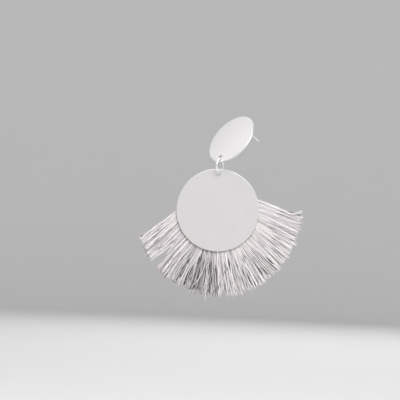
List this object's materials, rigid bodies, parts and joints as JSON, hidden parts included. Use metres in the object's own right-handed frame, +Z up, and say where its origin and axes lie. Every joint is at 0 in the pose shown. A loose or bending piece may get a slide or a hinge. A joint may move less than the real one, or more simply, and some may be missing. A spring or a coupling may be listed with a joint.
{
  "type": "tassel earring",
  "caption": "Drop earring for a pierced ear: a round satin stud plate with a post, a jump ring, and a larger hanging disc with a fan of silvery threads round its lower edge.",
  "frame": {"origin": "where the ear post enters the ear lobe, on the post's axis at the back of the stud plate", "axes": "+Z up as worn, -Y the front that the hanging disc faces, +X to the right in the front view"},
  "size_m": [0.0798, 0.0228, 0.0886],
  "materials": {
    "satin_plate": "satin silver-coloured plating",
    "polished_wire": "polished silver-coloured plating",
    "silky_thread": "silky silver-grey viscose thread"
  },
  "bodies": {
    "stud": {"stud_disc": "satin_plate"},
    "ring": {"jump_ring": "polished_wire"},
    "drop": {"drop_disc": "satin_plate", "fringe": "silky_thread"}
  },
  "joints": [
    {"name": "ring_sway", "type": "hinge", "parent": "stud", "child": "ring", "pos_m": [-0.00962, -0.00594, -0.01657], "axis": [-0.4067, -0.9135, 0], "range_deg": [-40, 40]},
    {"name": "drop_swing", "type": "hinge", "parent": "ring", "child": "drop", "pos_m": [-0.0099, -0.00582, -0.02036], "axis": [0.9107, -0.4055, -0.0785], "range_deg": [-60, 60]}
  ]
}
